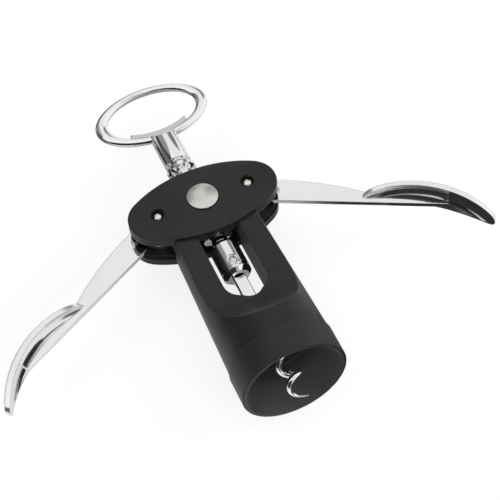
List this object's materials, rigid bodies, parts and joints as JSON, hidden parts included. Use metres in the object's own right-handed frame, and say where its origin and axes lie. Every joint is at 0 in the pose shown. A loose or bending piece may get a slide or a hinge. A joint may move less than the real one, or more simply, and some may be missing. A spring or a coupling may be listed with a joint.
{
  "type": "wing corkscrew",
  "caption": "Wing corkscrew with a bell body, an oval head, hinged lever wings geared to a round rack, a ring handle with a cap lip and a wire worm.",
  "frame": {"origin": "centre of the bell's mouth rim, on the tool axis", "axes": "+Y along the tool axis from the mouth to the ring handle, +Z out of the front cover, +X to the right; the tool lies on its back"},
  "size_m": [0.212, 0.1704, 0.044],
  "materials": {
    "body_plastic": "soft-touch black",
    "chrome": "bright plated",
    "satin_metal": "satin nickel"
  },
  "bodies": {
    "frame": {"frame_housing": "body_plastic", "bottle_collar": "body_plastic", "front_cover": "body_plastic", "rear_cover": "body_plastic", "front_button": "satin_metal", "left_pivot_pin": "satin_metal", "right_pivot_pin": "satin_metal"},
    "right_lever": {"right_lever": "chrome"},
    "left_lever": {"left_lever": "chrome"},
    "rack": {"rack_sleeve": "chrome"},
    "spindle": {"spindle_rod": "chrome", "ring_handle": "chrome", "worm_socket": "chrome", "worm": "chrome", "worm_rivet": "satin_metal"}
  },
  "joints": [
    {"name": "right_lever_swing", "type": "hinge", "parent": "frame", "child": "right_lever", "pos_m": [0.01984, 0.0899, 0], "axis": [0, 0, 1], "range_deg": [-45, 86]},
    {"name": "left_lever_swing", "type": "hinge", "parent": "frame", "child": "left_lever", "pos_m": [-0.01984, 0.0899, 0], "axis": [0, 0, 1], "range_deg": [-86, 45]},
    {"name": "rack_slide", "type": "slide", "parent": "frame", "child": "rack", "axis": [0, 1, 0], "range_m": [-0.0223, 0.0117]},
    {"name": "spindle_turn", "type": "hinge", "parent": "rack", "child": "spindle", "pos_m": [0, 0.0899, 0], "axis": [0, 1, 0], "continuous": true}
  ],
  "couplings": [
    {"joint": "left_lever_swing", "follows": "right_lever_swing", "ratio": -1},
    {"joint": "rack_slide", "follows": "right_lever_swing", "m_per_rad": -0.01484}
  ]
}
